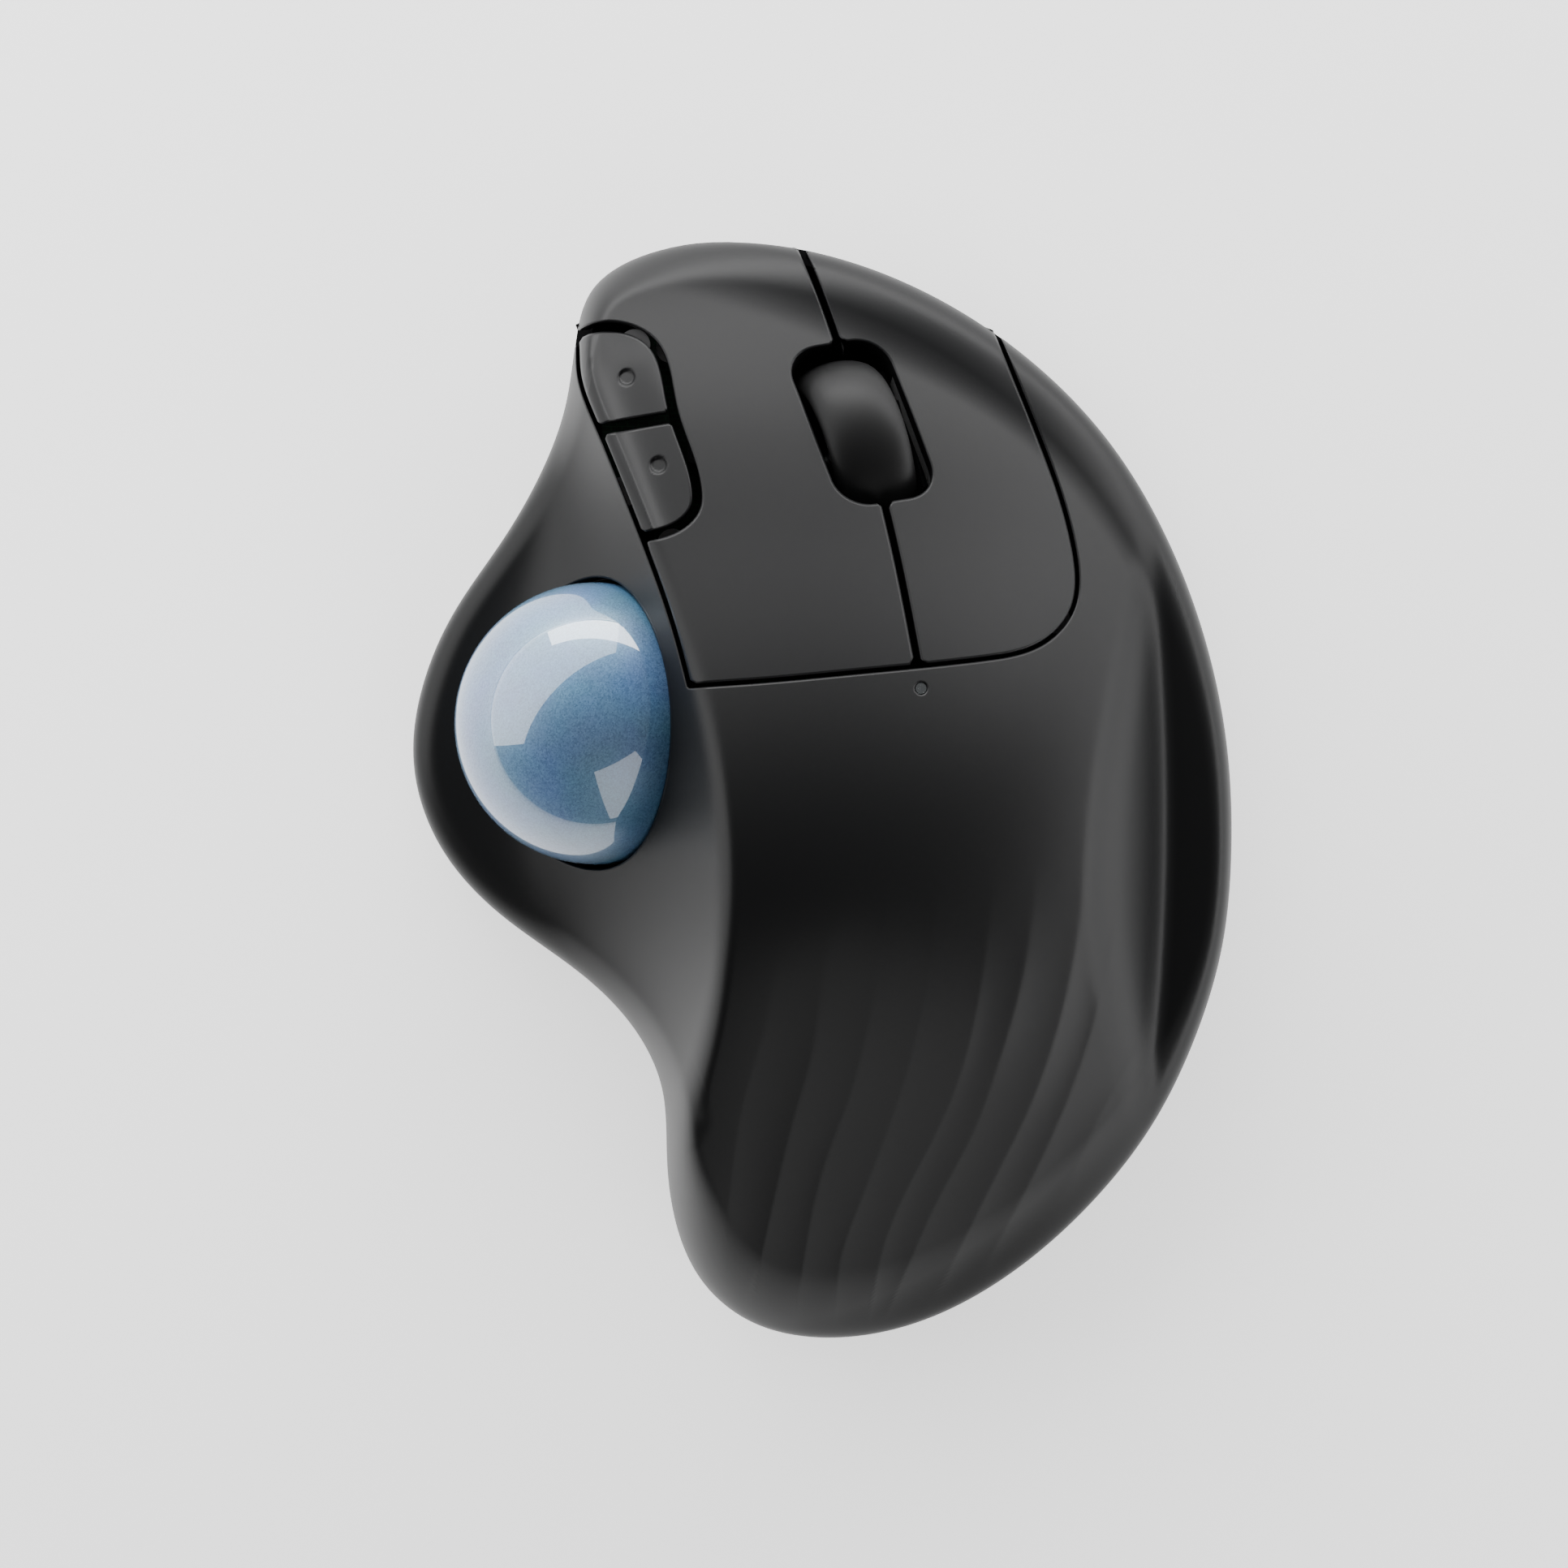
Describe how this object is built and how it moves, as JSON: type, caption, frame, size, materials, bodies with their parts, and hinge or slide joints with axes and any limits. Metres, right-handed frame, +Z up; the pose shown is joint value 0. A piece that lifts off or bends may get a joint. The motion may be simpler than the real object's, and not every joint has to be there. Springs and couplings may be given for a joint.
{
  "type": "trackball mouse",
  "caption": "Thumb-operated wireless trackball mouse with an arched palm rest, a pearl blue ball, a scroll wheel and finger buttons.",
  "frame": {"origin": "centre of the footprint on the desk", "axes": "+Z up, +Y towards the fingertips, -X on the thumb side"},
  "size_m": [0.1, 0.134, 0.048],
  "materials": {
    "charcoal_cover": "fine matte spark texture",
    "charcoal_button": "fine matte spark texture",
    "black_base": "matte moulded",
    "black_inner": "plain moulded",
    "wheel_rubber": "smooth satin rubber",
    "foot_rubber": "matte",
    "pearl_blue": "polished, pearl flecks under clear gloss",
    "ceramic": "polished ceramic",
    "clear_lens": "clear moulded",
    "circuit_board": "solder mask",
    "switch_case": "moulded",
    "battery_wrap": "printed sleeve, plain",
    "contact_metal": "nickel plated",
    "screw_steel": "zinc plated",
    "receiver_black": "satin",
    "switch_green": "satin"
  },
  "bodies": {
    "root": {"top_cover": "charcoal_cover", "base_shell": "black_base", "ball_cup": "black_inner", "bearing_beads": "ceramic", "sensor_lens": "clear_lens", "motion_sensor": "black_inner", "sensor_board": "circuit_board", "wheel_cradle": "black_inner", "main_board": "circuit_board", "side_button_board": "circuit_board", "board_stands": "black_inner", "board_header": "contact_metal", "left_microswitch": "switch_case", "right_microswitch": "switch_case", "forward_tact_switch": "switch_case", "back_tact_switch": "switch_case", "middle_tact_switch": "switch_case", "connect_tact_switch": "switch_case", "battery": "battery_wrap", "battery_tray": "black_inner", "battery_spring": "contact_metal", "battery_contact": "contact_metal", "power_switch_body": "switch_case", "case_screws": "screw_steel", "cup_screws": "screw_steel", "board_screws": "screw_steel", "rubber_feet": "foot_rubber", "status_lamp": "clear_lens", "status_light_pipe": "clear_lens", "wheel_return_spring": "contact_metal"},
    "left_button": {"left_button": "charcoal_button"},
    "right_button": {"right_button": "charcoal_button"},
    "forward_button": {"forward_button": "charcoal_button"},
    "back_button": {"back_button": "charcoal_button"},
    "wheel_carrier": {"wheel_carrier": "black_inner", "wheel_encoder": "switch_case"},
    "wheel": {"wheel_hub": "black_inner", "wheel_tyre": "wheel_rubber", "wheel_axle": "screw_steel"},
    "ball": {"ball": "pearl_blue"},
    "battery_door": {"battery_door": "black_base"},
    "usb_receiver": {"usb_receiver": "receiver_black"},
    "power_switch": {"power_switch_knob": "switch_green"},
    "connect_button": {"connect_button": "receiver_black"}
  },
  "joints": [
    {"name": "left_button_press", "type": "hinge", "parent": "root", "child": "left_button", "pos_m": [-0.003, 0.013, 0.0385], "axis": [-1, 0, 0], "range_deg": [0, 1], "stiffness_Nm_per_rad": 1.2, "springref_deg": -0.29},
    {"name": "right_button_press", "type": "hinge", "parent": "root", "child": "right_button", "pos_m": [0.017, 0.0145, 0.0315], "axis": [-1, 0, 0], "range_deg": [0, 1], "stiffness_Nm_per_rad": 1.2, "springref_deg": -0.29},
    {"name": "forward_button_press", "type": "slide", "parent": "root", "child": "forward_button", "axis": [0, 0, -1], "range_m": [0, 0.0007], "stiffness_N_per_m": 1100, "springref_m": -0.0002},
    {"name": "back_button_press", "type": "slide", "parent": "root", "child": "back_button", "axis": [0, 0, -1], "range_m": [0, 0.0007], "stiffness_N_per_m": 1100, "springref_m": -0.0002},
    {"name": "wheel_click", "type": "hinge", "parent": "root", "child": "wheel_carrier", "pos_m": [0.00683, 0.02606, 0.01536], "axis": [-0.9419, -0.2331, 0.2419], "range_deg": [0, 2], "stiffness_Nm_per_rad": 0.35, "springref_deg": -1.72},
    {"name": "wheel_spin", "type": "hinge", "parent": "wheel_carrier", "child": "wheel", "pos_m": [0.00334, 0.04013, 0.01536], "axis": [0.9419, 0.2331, -0.2419], "continuous": true},
    {"name": "ball_roll", "type": "hinge", "parent": "root", "child": "ball", "pos_m": [-0.0274, 0.008, 0.0217], "axis": [0, 1, 0], "continuous": true},
    {"name": "battery_door_swing", "type": "hinge", "parent": "root", "child": "battery_door", "pos_m": [0.014, 0.0081, 0.0008], "axis": [1, 0, 0], "range_deg": [0, 70]},
    {"name": "usb_receiver_pull", "type": "slide", "parent": "root", "child": "usb_receiver", "axis": [0, 0, -1], "range_m": [0, 0.014]},
    {"name": "power_slide", "type": "slide", "parent": "root", "child": "power_switch", "axis": [1, 0, 0], "range_m": [0, 0.0035]},
    {"name": "connect_press", "type": "slide", "parent": "root", "child": "connect_button", "axis": [0, 0, 1], "range_m": [0, 0.0003], "stiffness_N_per_m": 1500}
  ]
}
